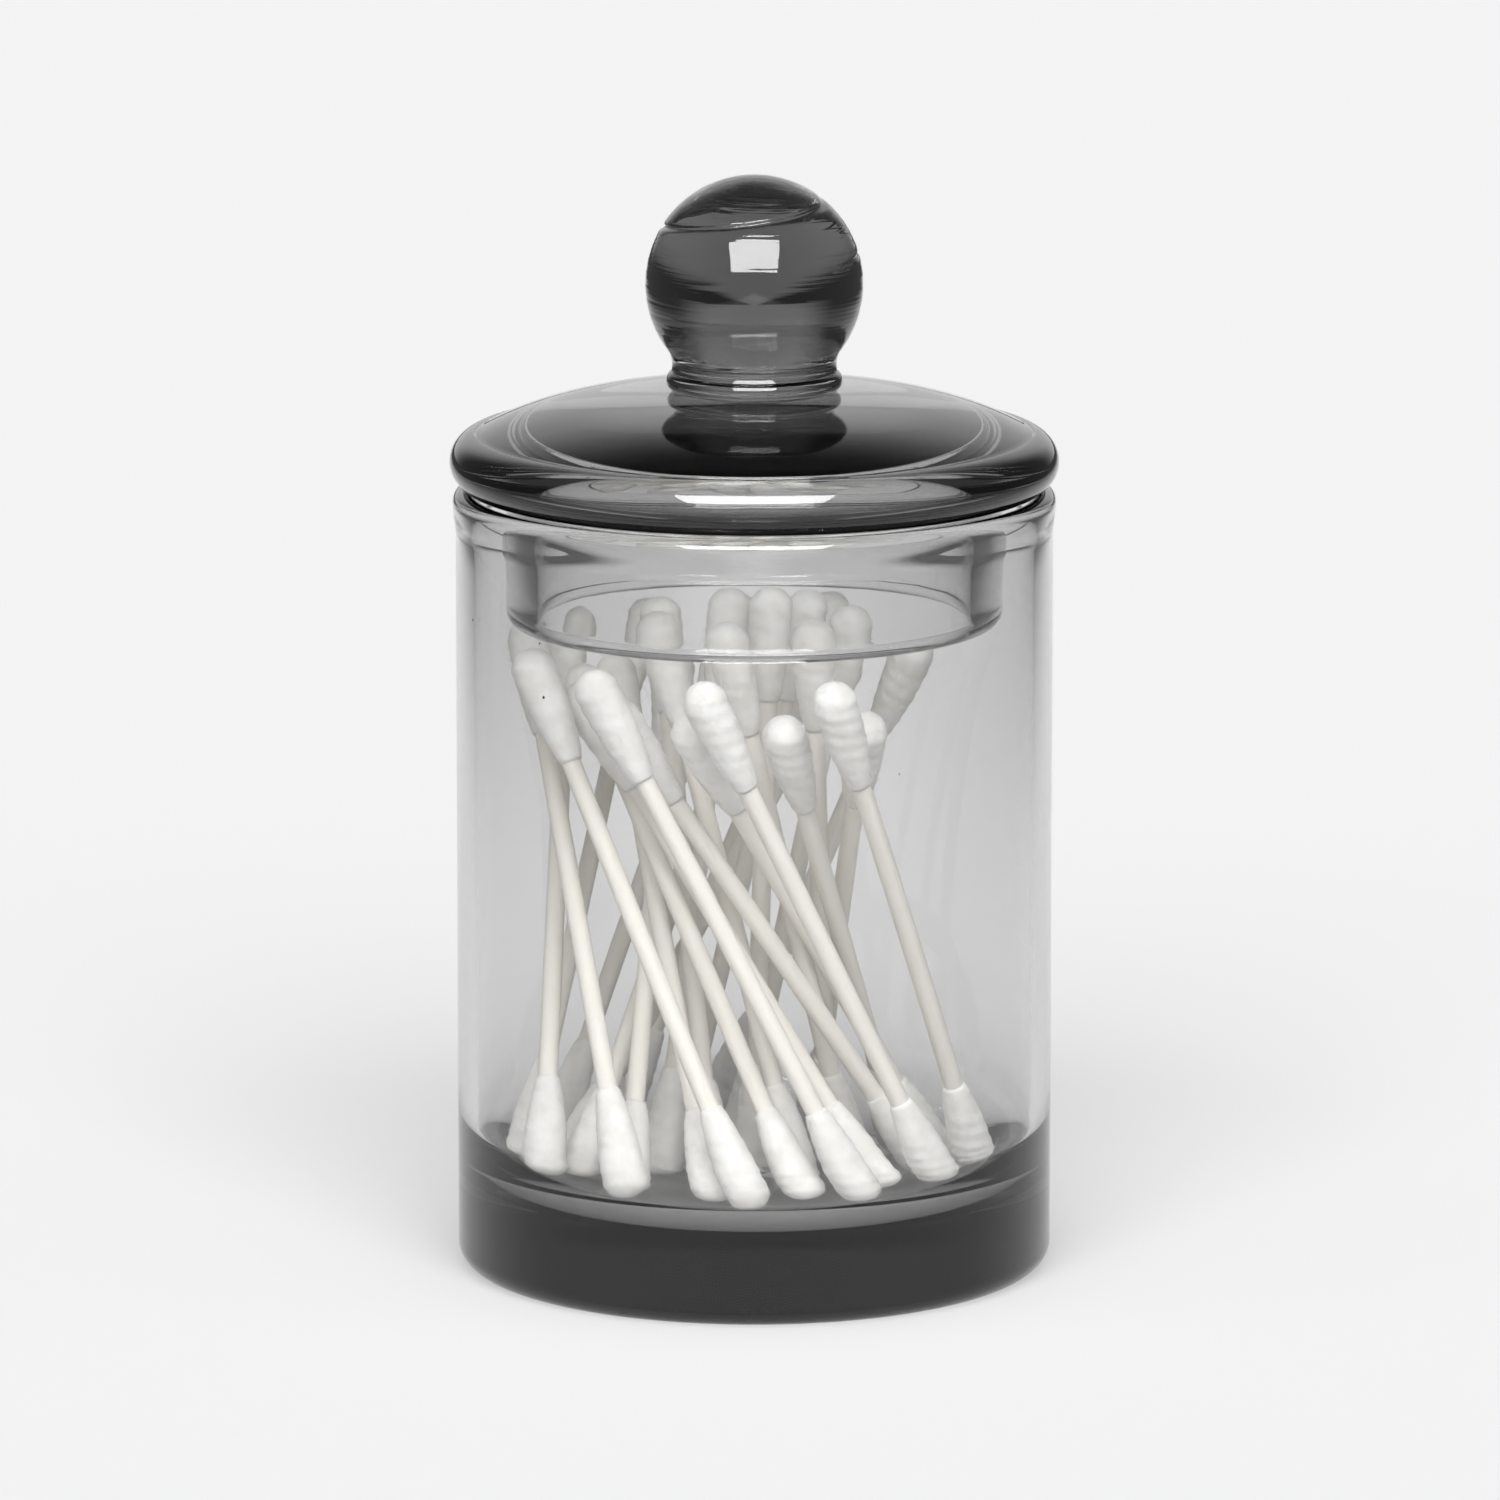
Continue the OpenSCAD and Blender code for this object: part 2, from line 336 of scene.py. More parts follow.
# %% Turn the lid
FOLD_START_Z = BALL_Z + 12.6 * MM
FOLD_DROP = 6.6 * MM
FOLD_TURNS = 1.45
FOLD_START = math.radians(118)
FOLD_DEPTH = 0.4 * MM
FOLD_WIDTH = 0.28 * MM
FOLD_FADE = 6
LINE_DEPTH = 0.045 * MM
LINES = ((0.9, 1, 0.3), (1.7, 2, 1.9), (0.55, 3, 4.0), (3.1, 1, 2.2))
LINES_EASE = 2 * MM
LINES_PATCH = 4 * MM
EDGE_WAVE = 0.05 * MM
EDGE_WAVE_START = 24 * MM
EDGE_WAVE_EASE = 8 * MM

def worked_by_hand(points, angles):
    """Pushes the points of the dome or the ball inwards where the glass was worked."""
    height = points[..., 2]
    radius = np.hypot(points[..., 0], points[..., 1])
    round_way = np.broadcast_to(angles, height.shape)
    push = np.zeros_like(height)
    above_neck = np.clip((height - neck_bend_z) / LINES_EASE, 0, 1)
    lines = np.zeros_like(height)
    for pitch, lean, start in LINES:
        slow = 0.5 + 0.5 * np.sin(lean * round_way + start + height / LINES_PATCH)
        lines += slow * np.sin(2 * math.pi * height / (pitch * MM) + lean * round_way + start)
    push += LINE_DEPTH * above_neck * (1 + lines / 4)
    for turn in range(2):
        travelled = (FOLD_START - round_way) % (2 * math.pi) / (2 * math.pi) + turn
        fold_z = FOLD_START_Z - FOLD_DROP * travelled
        there = np.clip((FOLD_TURNS - travelled) * FOLD_FADE, 0, 1)
        push += FOLD_DEPTH * there * np.exp(-((height - fold_z) / FOLD_WIDTH) ** 2)
    wave = 0.5 + 0.5 * np.sin(2 * round_way + 0.7)
    on_edge = np.clip((radius - EDGE_WAVE_START) / EDGE_WAVE_EASE, 0, 1)
    push += EDGE_WAVE * wave * on_edge
    scale = 1 - push / np.maximum(radius, 0.5 * MM)
    points[..., 0] *= scale
    points[..., 1] *= scale
    return points

lid = turned("lid_glass", lid_outline, worked_by_hand)
lid.data.materials.append(lid_glass)
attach(lid, "lid")
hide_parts("lid")

ball = turned("ball_glass", ball_outline, worked_by_hand)
ball.data.materials.append(ball_glass)
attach(ball, "lid")
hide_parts("lid")
print("lid and ball faces:", len(lid.data.polygons), len(ball.data.polygons))

# %% [markdown]
# ## The collar
# The collar is a ring of the palest glass. It has a bead at its lower end, and it flares out at the top to
# meet the underside of the dome.

# %% Turn the collar
collar_top = SEAT_Z - SEAM
collar_outline = straight((collar_in, collar_top), (collar_in, COLLAR_BOTTOM + BEAD_R), 12)
collar_outline += arc(COLLAR_R - BEAD_R, COLLAR_BOTTOM + BEAD_R, BEAD_R, 180, 360, 25)
collar_outline += straight((COLLAR_R, COLLAR_BOTTOM + BEAD_R), (COLLAR_R, SEAT_Z - FLARE_R), 12)
collar_outline += arc(COLLAR_R + FLARE_R - SEAM, SEAT_Z - FLARE_R, FLARE_R - SEAM, 180, 90, 14)
collar_outline += straight((COLLAR_R + FLARE_R - SEAM, collar_top), (collar_in, collar_top), 6)
collar_outline += [(collar_in, collar_top)]

collar = ring("collar_glass", collar_outline)
collar.data.materials.append(collar_glass)
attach(collar, "lid")
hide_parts("lid")
print("collar faces:", len(collar.data.polygons))

# %% [markdown]
# ## Seeds in the glass
# Melted glass keeps a few specks and tiny bubbles, called seeds. They show as dark dots in the pale wall, so
# a few tiny balls are set in the middle of the wall by a seeded draw.

# %% Scatter the seeds
SEED_COUNT = 9
SEED_RINGS = 5
SEED_SIDES = 8
SEED_LOWEST = 12 * MM
SEED_HIGHEST = 84 * MM
SEED_SIZES = (0.1, 0.22)

def speck(middle, size, start):
    """Points and faces of a little ball. start is the number of its first point."""
    verts = []
    for i in range(SEED_RINGS + 1):
        tilt = math.pi * i / SEED_RINGS
        for k in range(SEED_SIDES):
            turn = 2 * math.pi * k / SEED_SIDES
            way = (math.sin(tilt) * math.cos(turn), math.sin(tilt) * math.sin(turn), math.cos(tilt))
            verts.append(middle + size * np.array(way))
    faces = []
    for i in range(SEED_RINGS):
        for k in range(SEED_SIDES):
            n = (k + 1) % SEED_SIDES
            low = start + i * SEED_SIDES
            faces.append((low + k, low + SEED_SIDES + k, low + SEED_SIDES + n, low + n))
    return verts, faces

rng = np.random.default_rng(7)
verts = []
faces = []
for _ in range(SEED_COUNT):
    way = rng.uniform(0, 2 * math.pi)
    middle = np.array([math.cos(way) * (JAR_R - WALL / 2), math.sin(way) * (JAR_R - WALL / 2),
                       rng.uniform(SEED_LOWEST, SEED_HIGHEST)])
    size = rng.uniform(*SEED_SIZES) * MM
    more_verts, more_faces = speck(middle, size, len(verts))
    verts += more_verts
    faces += more_faces
seeds = mesh_object("glass_seeds", verts, faces)
seeds.data.materials.append(bare_material("glass_seed", (0.02, 0.02, 0.02), 0.4)[0])
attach(seeds, "jar")
print("seeds:", SEED_COUNT)

# %% [markdown]
# ## Paper sticks
# A stick is a strip of white paper rolled tight round itself. Its surface is matt, with the edge of the
# strip running round it as a fine long spiral, and no stick is quite straight. Each one is lofted along
# the axis of its solid in the frame, with a bend far below a millimetre.

# %% Paper material
PAPER_PALE = (0.93, 0.91, 0.86, 1)
PAPER_WARM = (0.87, 0.835, 0.76, 1)
PAPER_RELIEF = 0.05 * MM
WRAP_SCALE = 0.32
WRAP_SHARE = 0.5

paper, tree, shader = bare_material("rolled_paper", PAPER_PALE[:3], 0.75)
place = add_node(tree, "UVMap", uv_map="along").outputs["UV"]
wrap = add_node(tree, "TexWave", {"Vector": place, "Scale": WRAP_SCALE, "Distortion": 0.6},
                wave_profile="SAW")
fibres = add_node(tree, "TexNoise", {"Vector": place, "Scale": 9, "Detail": 5}).outputs["Fac"]
tone = add_node(tree, "Mix", {"Factor": fibres, "A": PAPER_PALE, "B": PAPER_WARM}, data_type="RGBA")
relief = maths(tree, "MULTIPLY_ADD", wrap.outputs["Fac"], WRAP_SHARE, fibres)
bump = add_node(tree, "Bump", {"Height": relief, "Strength": 0.35, "Distance": PAPER_RELIEF})
set_sockets(tree, shader, {"Base Color": tone.outputs["Result"], "Normal": bump.outputs["Normal"]})
print("paper ready")

# %% [markdown]
# ## Where each swab lies
# The frame keeps a swab as plain solids in their true place. The axis of a stick is the line through its
# points that fits best, which a singular value decomposition gives, and the two tips say where the swab
# ends.

# %% Axis of a swab
STICK_R = 1.2 * MM
TIP_R = 2.8 * MM
TIP_L = 15 * MM
STICK_INSET = 4 * MM
swab_count = sum(name.endswith("_stick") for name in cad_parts)

def node_points(name):
    """The points of a node of the frame."""
    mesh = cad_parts[name].data
    flat = np.empty(len(mesh.vertices) * 3)
    mesh.vertices.foreach_get("co", flat)
    return flat.reshape(-1, 3)

def swab_ends(label):
    """The foot end and the head end of one swab, over both tips."""
    stick = node_points(label + "_stick")
    middle = (stick.min(axis=0) + stick.max(axis=0)) / 2
    direction = np.linalg.svd(stick - stick.mean(axis=0), full_matrices=False)[2][0]
    direction *= np.sign(direction[2])
    reach = (node_points(label + "_tips") - middle) @ direction
    return middle + reach.min() * direction, middle + reach.max() * direction

def cross_axes(direction):
    """Two axes square to a direction."""
    side = np.cross(direction, (0, 1, 0))
    side /= np.linalg.norm(side)
    return side, np.cross(direction, side)

print("swabs:", swab_count)

# %% [markdown]
# ## Loft of the sticks
# Rings of points along the axis make the stick. The second channel of the map runs along the stick and
# the first runs round it, and the slope between them is what makes the paper's edge a spiral.

# %% Make the sticks
STICK_SIDES = 20
STICK_RINGS = 26
BEND = 0.12 * MM
SPIRAL_LEAN = 2.4
STICK_UNEVEN = 0.02
MAP_LENGTH = 6
MAP_STRETCH = 4

def stick_mesh(label, foot, head, rng):
    """One slightly bent paper stick between the two cotton tips."""
    length = np.linalg.norm(head - foot)
    direction = (head - foot) / length
    side, other = cross_axes(direction)
    bend_way = rng.uniform(0, 2 * math.pi)
    verts = []
    for share in np.linspace(0, 1, STICK_RINGS):
        at = foot + direction * (STICK_INSET + (length - 2 * STICK_INSET) * share)
        sag = BEND * math.sin(math.pi * share)
        at = at + sag * (math.cos(bend_way) * side + math.sin(bend_way) * other)
        radius = STICK_R * (1 - STICK_UNEVEN * rng.random())
        for k in range(STICK_SIDES):
            turn = 2 * math.pi * k / STICK_SIDES
            verts.append(at + radius * (math.cos(turn) * side + math.sin(turn) * other))
    faces = []
    for i in range(STICK_RINGS - 1):
        for k in range(STICK_SIDES):
            n = (k + 1) % STICK_SIDES
            low = i * STICK_SIDES
            high = low + STICK_SIDES
            faces.append((low + k, low + n, high + n, high + k))
    faces.append(tuple(range(STICK_SIDES))[::-1])
    faces.append(tuple((STICK_RINGS - 1) * STICK_SIDES + k for k in range(STICK_SIDES)))
    piece = mesh_object(label, verts, faces)
    layer = piece.data.uv_layers.new(name="along")
    for polygon in piece.data.polygons:
        sides = [v % STICK_SIDES for v in polygon.vertices]
        seam = max(sides) - min(sides) > STICK_SIDES / 2 and len(sides) == 4
        for loop, v in zip(polygon.loop_indices, polygon.vertices):
            k = v % STICK_SIDES
            around = (k + STICK_SIDES if seam and k < STICK_SIDES / 2 else k) / STICK_SIDES
            along = v // STICK_SIDES / STICK_RINGS * MAP_LENGTH
            layer.data[loop].uv = (around + SPIRAL_LEAN * along, along * MAP_STRETCH)
    piece.data.materials.append(paper)
    return piece

for number in range(1, swab_count + 1):
    label = f"swab_{number:02d}"
    foot, head = swab_ends(label)
    stick = stick_mesh(label + "_paper", foot, head, np.random.default_rng(100 + number))
    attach(stick, "jar")
    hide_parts(label + "_stick")
print("sticks made")

# %% [markdown]
# ## Cotton
# Cotton is white down to its single fibres, so light gets a little way in and comes out again soft. The
# shader is rough with a touch of sheen, and a fine noise breaks its surface into fibres. A slow noise
# keeps one tip from being the same white all over.

# %% Cotton material
COTTON_WHITE = (0.94, 0.935, 0.915, 1)
COTTON_SHADE = (0.87, 0.855, 0.815, 1)
CLOUD_SCALE = 420
FIBRE_SCALE = 2600
COTTON_RELIEF = 0.12 * MM

cotton, tree, shader = bare_material("wound_cotton", COTTON_WHITE[:3], 0.95)
place = add_node(tree, "TexCoord").outputs["Object"]
slow = add_node(tree, "TexNoise", {"Vector": place, "Scale": CLOUD_SCALE, "Detail": 3})
fine = add_node(tree, "TexNoise", {"Vector": place, "Scale": FIBRE_SCALE, "Detail": 4, "Roughness": 0.7})
spread = add_node(tree, "MapRange", {"Value": slow.outputs["Fac"], "From Min": 0.35, "From Max": 0.6})
tone = add_node(tree, "Mix", {"Factor": spread.outputs["Result"], "A": COTTON_SHADE, "B": COTTON_WHITE},
                data_type="RGBA")
bump = add_node(tree, "Bump", {"Height": fine.outputs["Fac"], "Strength": 0.5, "Distance": COTTON_RELIEF})
set_sockets(tree, shader, {"Base Color": tone.outputs["Result"], "Normal": bump.outputs["Normal"],
                           "Sheen Weight": 0.25, "Sheen Roughness": 0.6, "Specular IOR Level": 0.15})
print("cotton ready")

# %% [markdown]
# ## Form of a tip
# A tip is a bud: a round end, its thickest place just behind it, and a taper that thins out onto the
# paper. The cotton is wound on, so shallow ridges run round it in a spiral, and soft lumps lie between
# them. The tip is worked out in its own axes first, with the end at zero and the stick running up. Its rings
# of points stand closer together near the round end, where it curves most.

# %% Body of a tip
TIP_SIDES = 36
TIP_RINGS = 44
TIP_LIP = 0.18 * MM
TIP_FULLNESS = 0.75
LUMP = 0.13 * MM
RIDGE = 0.05 * MM
LUMP_WAVES = 6
RING_CROWDING = 1.35
RIDGE_TWIST = 3.2

def bud_radius(s):
    """Radius of the bud at a distance s from its round end."""
    if s < TIP_R:
        return math.sqrt(max(TIP_R ** 2 - (TIP_R - s) ** 2, 0))
    share = min((s - TIP_R) / (TIP_L - TIP_R), 1)
    thin = STICK_R + TIP_LIP
    return thin + (TIP_R - thin) * math.cos(math.pi / 2 * share) ** TIP_FULLNESS

def bud(rng):
    """Points and faces of one tip in its own axes, in metres."""
    phases = rng.uniform(0, 2 * math.pi, (LUMP_WAVES, 3))
    steps = TIP_L * (np.linspace(0, 1, TIP_RINGS + 1)[1:] ** RING_CROWDING)
    verts = [(0.0, 0.0, 0.0)]
    for s in steps:
        base = bud_radius(s)
        for k in range(TIP_SIDES):
            turn = 2 * math.pi * k / TIP_SIDES
            lump = 0
            for i, (a, b, _) in enumerate(phases):
                round_it = math.sin((i % 3 + 1) * turn + a)
                lump += round_it * math.sin((0.35 + 0.3 * i) * s / MM + b) / (1 + 0.4 * i)
            ridge = math.sin(turn * 2 + RIDGE_TWIST * s / MM + phases[0][0])
            room = min(base / TIP_R, 1)
            radius = base - LUMP * room * (0.9 - lump / 3) + RIDGE * room * ridge
            verts.append((radius * math.cos(turn), radius * math.sin(turn), s))
    faces = []
    for k in range(TIP_SIDES):
        n = (k + 1) % TIP_SIDES
        faces.append((0, 1 + n, 1 + k))
        for i in range(TIP_RINGS - 1):
            low = 1 + i * TIP_SIDES
            high = low + TIP_SIDES
            faces.append((low + k, low + n, high + n, high + k))
    last = 1 + (TIP_RINGS - 1) * TIP_SIDES
    faces.append(tuple(last + k for k in range(TIP_SIDES)))
    return np.array(verts), faces

print("points in a tip:", 1 + TIP_RINGS * TIP_SIDES)

# %% [markdown]
# ## Loose fibres
# What tells cotton from plaster is its edge: hundreds of short fibres stand off it and a few long ones
# stray. A short one is a single thin blade, which is enough for a thing thinner than a hair. A long one
# is a thin curved tube of three sides that bends back towards the tip. None may pass through the glass, so
# each point is kept inside the jar's inner outline.

# %% Fibre helpers
SHORT_FIBRES = 900
LONG_FIBRES = 46
SHORT_WIDTH = 0.03 * MM
LONG_WIDTH = 0.022 * MM
LONG_STEPS = 5
SHORT_LENGTH = (0.25, 0.75)
SHORT_STRAY = 0.88
LONG_STEP = (0.25, 0.6)
LONG_STRAY = 0.8
LONG_CURL = 0.35
LONG_TAPER = 0.6
LONG_FALL = 0.25
GLASS_CLEAR = 0.06 * MM

def kept_inside(points):
    """Moves points that would touch the floor, the large corner or the wall back inside."""
    radius = np.hypot(points[:, 0], points[:, 1])
    most = np.full(len(points), INNER_R - GLASS_CLEAR)
    corner_z = FLOOR_Z + CORNER_R
    corner_r = INNER_R - CORNER_R
    low = points[:, 2] < corner_z
    drop = np.clip(corner_z - points[:, 2], 0, CORNER_R - GLASS_CLEAR)
    most[low] = corner_r + np.sqrt((CORNER_R - GLASS_CLEAR) ** 2 - drop[low] ** 2)
    scale = np.minimum(1, most / np.maximum(radius, MM))
    points[:, 0] *= scale
    points[:, 1] *= scale
    points[:, 2] = np.maximum(points[:, 2], FLOOR_Z + GLASS_CLEAR)
    return points

def short_fibres(surface, normals, rng):
    """Thin blades that stand off the surface."""
    pick = rng.integers(0, len(surface), SHORT_FIBRES)
    root = surface[pick]
    way = normals[pick] + SHORT_STRAY * rng.normal(0, 1, (SHORT_FIBRES, 3))
    way /= np.linalg.norm(way, axis=1)[:, None]
    across = np.cross(way, rng.normal(0, 1, (SHORT_FIBRES, 3)))
    across /= np.linalg.norm(across, axis=1)[:, None]
    length = rng.uniform(*SHORT_LENGTH, SHORT_FIBRES)[:, None] * MM
    half = across * SHORT_WIDTH / 2
    verts = np.stack([root - half, root + half, root + way * length], axis=1)
    faces = [(3 * i, 3 * i + 1, 3 * i + 2) for i in range(SHORT_FIBRES)]
    return verts.reshape(-1, 3), faces

def long_fibres(surface, normals, rng):
    """Curved strays of three sides."""
    verts = []
    faces = []
    for _ in range(LONG_FIBRES):
        pick = rng.integers(0, len(surface))
        at = surface[pick].copy()
        way = normals[pick] + rng.normal(0, LONG_STRAY, 3)
        way /= np.linalg.norm(way)
        curl = rng.normal(0, LONG_CURL, 3)
        step = rng.uniform(*LONG_STEP) * MM
        side, other = cross_axes(way)
        for i in range(LONG_STEPS):
            thin = LONG_WIDTH * (1 - LONG_TAPER * i / LONG_STEPS)
            start = len(verts)
            for k in range(3):
                turn = 2 * math.pi * k / 3
                verts.append(at + thin * (math.cos(turn) * side + math.sin(turn) * other))
            if i:
                for k in range(3):
                    n = (k + 1) % 3
                    faces.append((start - 3 + k, start - 3 + n, start + n, start + k))
            way = way + curl / 2 - LONG_FALL * normals[pick]
            way /= np.linalg.norm(way)
            at = at + way * step
    return np.array(verts), faces

print("fibres on a tip:", SHORT_FIBRES + LONG_FIBRES)

# %% [markdown]
# ## Make the cotton
# Both tips of a swab are one piece of cotton each, kept in one object per swab. The bud is set onto the
# end of its stick, its surface directions are worked out, and the fibres grow from it.

# %% Set the tips
def surface_directions(verts, faces):
    """Outward direction at each point of a tip, from its faces."""
    normals = np.zeros_like(verts)
    for face in faces[:-1]:
        a, b, c = verts[face[0]], verts[face[1]], verts[face[2]]
        normal = np.cross(b - a, c - a)
        for v in face:
            normals[v] += normal
    return normals / np.maximum(np.linalg.norm(normals, axis=1), 1e-12)[:, None]

def tip_parts(end, inward, rng):
    """All points and faces of one tip set at the end of a stick."""
    local, faces = bud(rng)
    side, other = cross_axes(inward)
    if np.dot(np.cross(side, other), inward) < 0:
        other = -other
    surface = end + local[:, :1] * side + local[:, 1:2] * other + local[:, 2:] * inward
    normals = surface_directions(surface, faces)
    outer = np.flatnonzero(local[:, 2] < TIP_L)
    parts = [(surface, faces)]
    parts.append(short_fibres(surface[outer], normals[outer], rng))
    parts.append(long_fibres(surface[outer], normals[outer], rng))
    return parts

for number in range(1, swab_count + 1):
    label = f"swab_{number:02d}"
    foot, head = swab_ends(label)
    direction = (head - foot) / np.linalg.norm(head - foot)
    rng = np.random.default_rng(500 + number)
    points = []
    polygons = []
    total = 0
    for verts, faces in tip_parts(foot, direction, rng) + tip_parts(head, -direction, rng):
        points.append(verts)
        polygons += [tuple(v + total for v in face) for face in faces]
        total += len(verts)
    tips = mesh_object(label + "_cotton", kept_inside(np.concatenate(points)), polygons)
    tips.data.materials.append(cotton)
    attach(tips, "jar")
    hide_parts(label + "_tips")
print("points in one pair of tips:", total)

# %% [markdown]
# ## Lamp
# The photograph shows one soft lamp in front of the canister and above it: its mirror image is the bright
# patch on the ball. An area lamp of the same angular size stands there, far enough away to light the floor
# evenly.

# %% Soft lamp
LAMP_DISTANCE = 2.4
LAMP_HEIGHT_ANGLE = math.radians(41)
LAMP_WIDTH = 2.2
LAMP_DEPTH = 1.4
LAMP_WATTS = 62
AIM = Vector((0, 0, 0.08))

lamp_data = bpy.data.lights.new("soft_lamp", "AREA")
lamp_data.shape = "RECTANGLE"
lamp_data.size = LAMP_WIDTH
lamp_data.size_y = LAMP_DEPTH
lamp_data.energy = LAMP_WATTS
lamp = bpy.data.objects.new("soft_lamp", lamp_data)
bpy.context.scene.collection.objects.link(lamp)
lamp.location = AIM + LAMP_DISTANCE * Vector((0, -math.cos(LAMP_HEIGHT_ANGLE), math.sin(LAMP_HEIGHT_ANGLE)))
lamp.rotation_euler = (AIM - lamp.location).to_track_quat("-Z", "Y").to_euler()
print("lamp stands at", [round(v, 2) for v in lamp.location])

# %% [markdown]
# ## Bright image of the lamp
# In the photograph the lamp's mirror image is brighter than the light that it sheds. A lamp has one strength
# for both, but the material of a surface knows what kind of ray meets it. So a clear card stands just in
# front of the lamp and glows for mirrored rays alone.

# %% Card in front of the lamp
MIRRORED_GLOW = 9
CARD_GAP = 0.02

card = rectangle("lamp_card", LAMP_WIDTH, LAMP_DEPTH, -CARD_GAP)
card.location = lamp.location
card.rotation_euler = lamp.rotation_euler
card_light, tree, shader = bare_material("lamp_card", (0, 0, 0), 1)
tree.nodes.remove(shader)
rays = add_node(tree, "LightPath").outputs
mirrored_only = maths(tree, "SUBTRACT", rays["Is Glossy Ray"], rays["Diffuse Depth"], use_clamp=True)
shine = add_node(tree, "Emission", {"Strength": maths(tree, "MULTIPLY", mirrored_only, MIRRORED_GLOW)})
clear = add_node(tree, "BsdfTransparent")
both = add_node(tree, "AddShader", {0: shine.outputs["Emission"], 1: clear.outputs["BSDF"]})
set_sockets(tree, tree.nodes["Material Output"], {"Surface": both.outputs["Shader"]})
card.data.materials.append(card_light)
print("card stands", CARD_GAP, "m in front of the lamp")

# %% [markdown]
# ## Room
# White paper runs along the floor and up behind the canister, and the room above and beside it is dark.
# That is what the glass mirrors. The sky of the scene is pale at the horizon and dark overhead and at the
# sides for rays that see it, in a mirror or through glass, and a dim grey for the light that it sheds.

# %% Helpers for the room
def smooth_step(tree, source, start, end, first=0, last=1):
    """Goes softly from first to last while the source goes from start to end."""
    sockets = {"Value": source, "From Min": start, "From Max": end, "To Min": first, "To Max": last}
    return add_node(tree, "MapRange", sockets, interpolation_type="SMOOTHSTEP").outputs["Result"]

def mixed(tree, share, first, last):
    """first where the share is 0, and last where it is 1."""
    sockets = {"Factor": share, "A": first, "B": last}
    return add_node(tree, "Mix", sockets, data_type="FLOAT").outputs["Result"]

def ray_kinds(tree):
    """The kinds of ray, then 1 for a mirrored or bent ray, and 1 for one that has met no matt surface."""
    rays = add_node(tree, "LightPath").outputs
    bent = maths(tree, "MAXIMUM", rays["Is Glossy Ray"], rays["Is Transmission Ray"])
    return rays, bent, maths(tree, "SUBTRACT", bent, rays["Diffuse Depth"], use_clamp=True)

print("room helpers ready")

# %% [markdown]
# ## Light of the room
# The direction of a ray tells where in the room it ends. Its height leads from the paper to the dark above,
# its side to the dark beside the paper, and its depth parts the paper from the dark behind the camera. Each
# pair of numbers says where one turns into the other, as a part of the direction's length.

# %% Room light
BACKDROP = 0.896
OVERHEAD = 0.05
SIDE_DARK = 0.12
FRONT_DARK = 0.15
ROOM_LIGHT = 0.35
PAPER_TOP = (0.4, 0.8)
PAPER_SIDE = (0.25, 0.6)
PAPER_FRONT = (-0.1, 0.25)

world = bpy.data.worlds.new("room")
bpy.context.scene.world = world
world.use_nodes = True
tree = world.node_tree
place = add_node(tree, "TexCoord")
way = add_node(tree, "SeparateXYZ", {"Vector": place.outputs["Generated"]}).outputs
upright = smooth_step(tree, way["Z"], *PAPER_TOP, BACKDROP, OVERHEAD)
beside = smooth_step(tree, maths(tree, "ABSOLUTE", way["X"]), *PAPER_SIDE)
behind = smooth_step(tree, way["Y"], *PAPER_FRONT)
studio = mixed(tree, behind, FRONT_DARK, mixed(tree, beside, upright, SIDE_DARK))
rays, _, bent_only = ray_kinds(tree)
seen_in_glass = mixed(tree, bent_only, ROOM_LIGHT, studio)
sky = mixed(tree, rays["Is Camera Ray"], seen_in_glass, BACKDROP)
set_sockets(tree, tree.nodes["Background"], {"Color": sky, "Strength": 1})
print("room ready")

# %% [markdown]
# ## Floor
# The floor has to look the same pale tone everywhere and still take the shadow of the canister. So the
# part of its light that the lamp and the room give is worked out, and just as much is left out of its own
# glow. Where a shadow takes the lamp away, only the glow is left, and the shadow shows. The lamp's part
# falls with the square of the distance, and with the angle at the floor and at the lamp. The last term of
# the distance is for the size of the lamp.

# %% Floor sheet and its own glow
FLOOR_SIZE = 30
PAPER_WHITE = 0.8
GLASS_TO_PAPER = 0.05 * MM

floor = rectangle("floor", FLOOR_SIZE, FLOOR_SIZE, -GLASS_TO_PAPER)
floor_paint, tree, shader = bare_material("floor_paper", (PAPER_WHITE,) * 3, 1)
set_sockets(tree, shader, {"Specular IOR Level": 0})
lamp_part = LAMP_WATTS / math.pi ** 2 * PAPER_WHITE * lamp.location.z
lamp_way = (AIM - lamp.location).normalized()
position = add_node(tree, "NewGeometry").outputs["Position"]
offset = add_node(tree, "VectorMath", {0: position, 1: lamp.location}, operation="SUBTRACT").outputs["Vector"]
forward = add_node(tree, "VectorMath", {0: offset, 1: lamp_way}, operation="DOT_PRODUCT").outputs["Value"]
away = add_node(tree, "VectorMath", {0: offset}, operation="LENGTH").outputs["Value"]
squared = maths(tree, "MULTIPLY_ADD", away, away, (LAMP_WIDTH ** 2 + LAMP_DEPTH ** 2) / 12)
lit = maths(tree, "DIVIDE", forward, maths(tree, "POWER", squared, 2))
glow = maths(tree, "MULTIPLY_ADD", lit, -lamp_part, BACKDROP - ROOM_LIGHT * PAPER_WHITE, use_clamp=True)
floor.data.materials.append(floor_paint)
print("floor sheet made")

# %% [markdown]
# ## Ends of the paper
# Rays that see the floor, straight or through glass, meet the paper with its glow. All others meet plain
# white paper, so that the glow sheds no light on the canister. The ball is a lens that sees far to the
# sides, so for mirrored and bent rays the paper ends a little way off, and the dark room begins.

# %% Floor material
PAPER_HALF_WIDTH = 0.3
PAPER_EDGE_EASE = 0.15

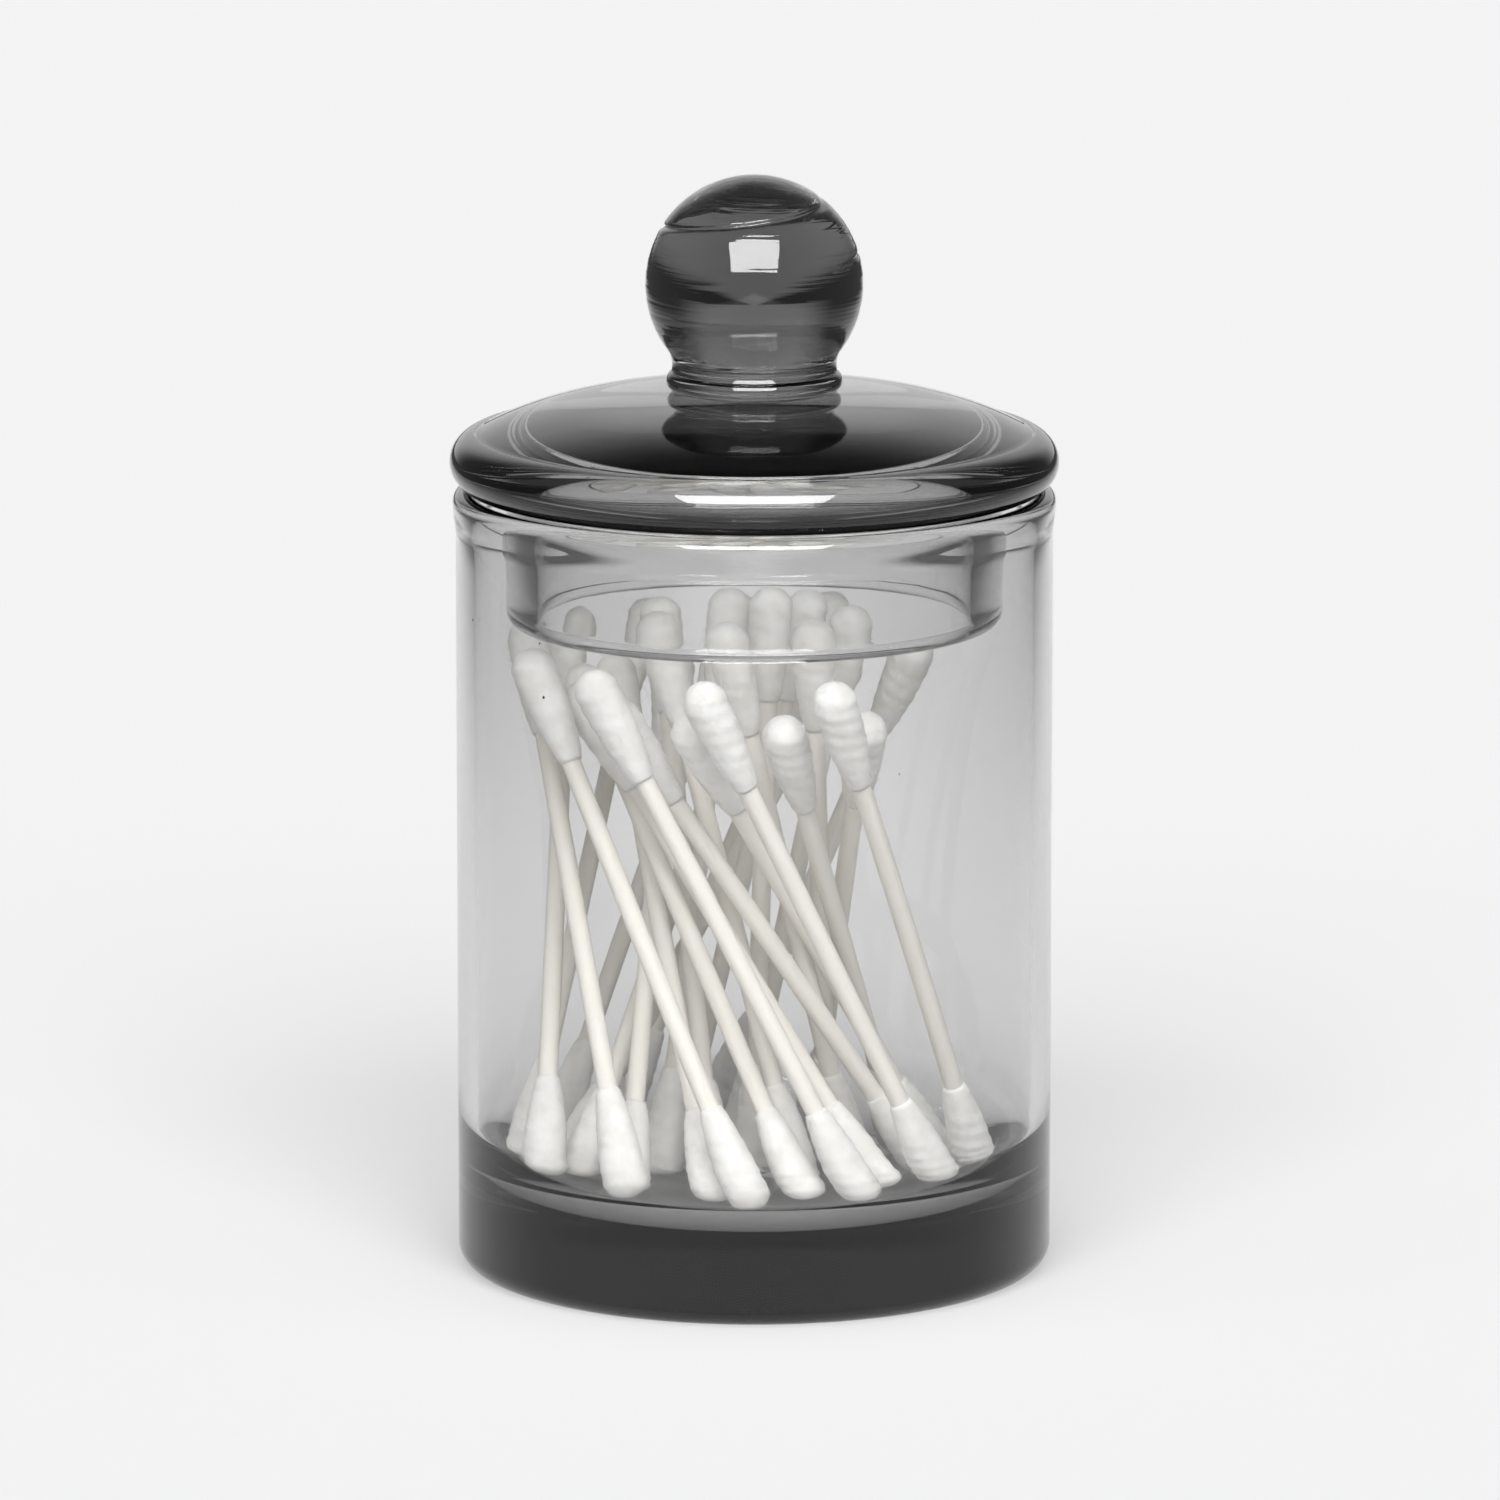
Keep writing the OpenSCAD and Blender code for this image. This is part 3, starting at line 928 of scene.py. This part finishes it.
seen_glow = add_node(tree, "Emission", {"Strength": glow})
matt = add_node(tree, "BsdfDiffuse", {"Color": (PAPER_WHITE,) * 3 + (1,)})
seen_floor = add_node(tree, "AddShader", {0: seen_glow.outputs["Emission"], 1: matt.outputs["BSDF"]})
rays, bent, bent_only = ray_kinds(tree)
seen = maths(tree, "MAXIMUM", bent, rays["Is Camera Ray"])
paper_floor = add_node(tree, "MixShader", {"Fac": seen, 1: shader.outputs["BSDF"],
                                           2: seen_floor.outputs["Shader"]})
side = maths(tree, "ABSOLUTE", add_node(tree, "SeparateXYZ", {"Vector": position}).outputs["X"])
past_edge = smooth_step(tree, side, PAPER_HALF_WIDTH - PAPER_EDGE_EASE, PAPER_HALF_WIDTH + PAPER_EDGE_EASE)
off_paper = maths(tree, "MULTIPLY", bent_only, past_edge)
room_floor = add_node(tree, "Emission", {"Strength": SIDE_DARK})
whole = add_node(tree, "MixShader", {"Fac": off_paper, 1: paper_floor.outputs["Shader"],
                                     2: room_floor.outputs["Emission"]})
set_sockets(tree, tree.nodes["Material Output"], {"Surface": whole.outputs["Shader"]})
print("floor ready")

# %% [markdown]
# ## Camera
# The photograph was taken from well back with a long lens, from about ten degrees above the rim. The
# camera stands at the same height and distance, so the ellipses of the rim and the base open as they do
# in the photograph.

# %% Camera
SENSOR_WIDTH = 36
LENS = 286.5
CAMERA_PLACE = (-0.53 * MM, -1454.7 * MM, 353.0 * MM)
CAMERA_TILT = math.radians(78.8)
FARTHEST = 100

camera_data = bpy.data.cameras.new("camera")
camera_data.sensor_width = SENSOR_WIDTH
camera_data.lens = LENS
camera_data.clip_end = FARTHEST
camera = bpy.data.objects.new("camera", camera_data)
bpy.context.scene.collection.objects.link(camera)
camera.location = CAMERA_PLACE
camera.rotation_euler = (CAMERA_TILT, 0, 0)
bpy.context.scene.camera = camera
print("camera lens:", camera_data.lens)

# %% [markdown]
# ## View settings
# Thick glass needs many bends of a ray before it gets out again, so the scene allows more of them than
# usual. The view transform is plain, so a colour shows as it is written.

# %% View and light paths
scene = bpy.context.scene
scene.view_settings.view_transform = "Standard"
scene.cycles.max_bounces = 24
scene.cycles.transmission_bounces = 24
scene.cycles.glossy_bounces = 12
scene.cycles.transparent_max_bounces = 32
print("view:", scene.view_settings.view_transform)

# %% [markdown]
# ## End

# %% End
print("scene ready")
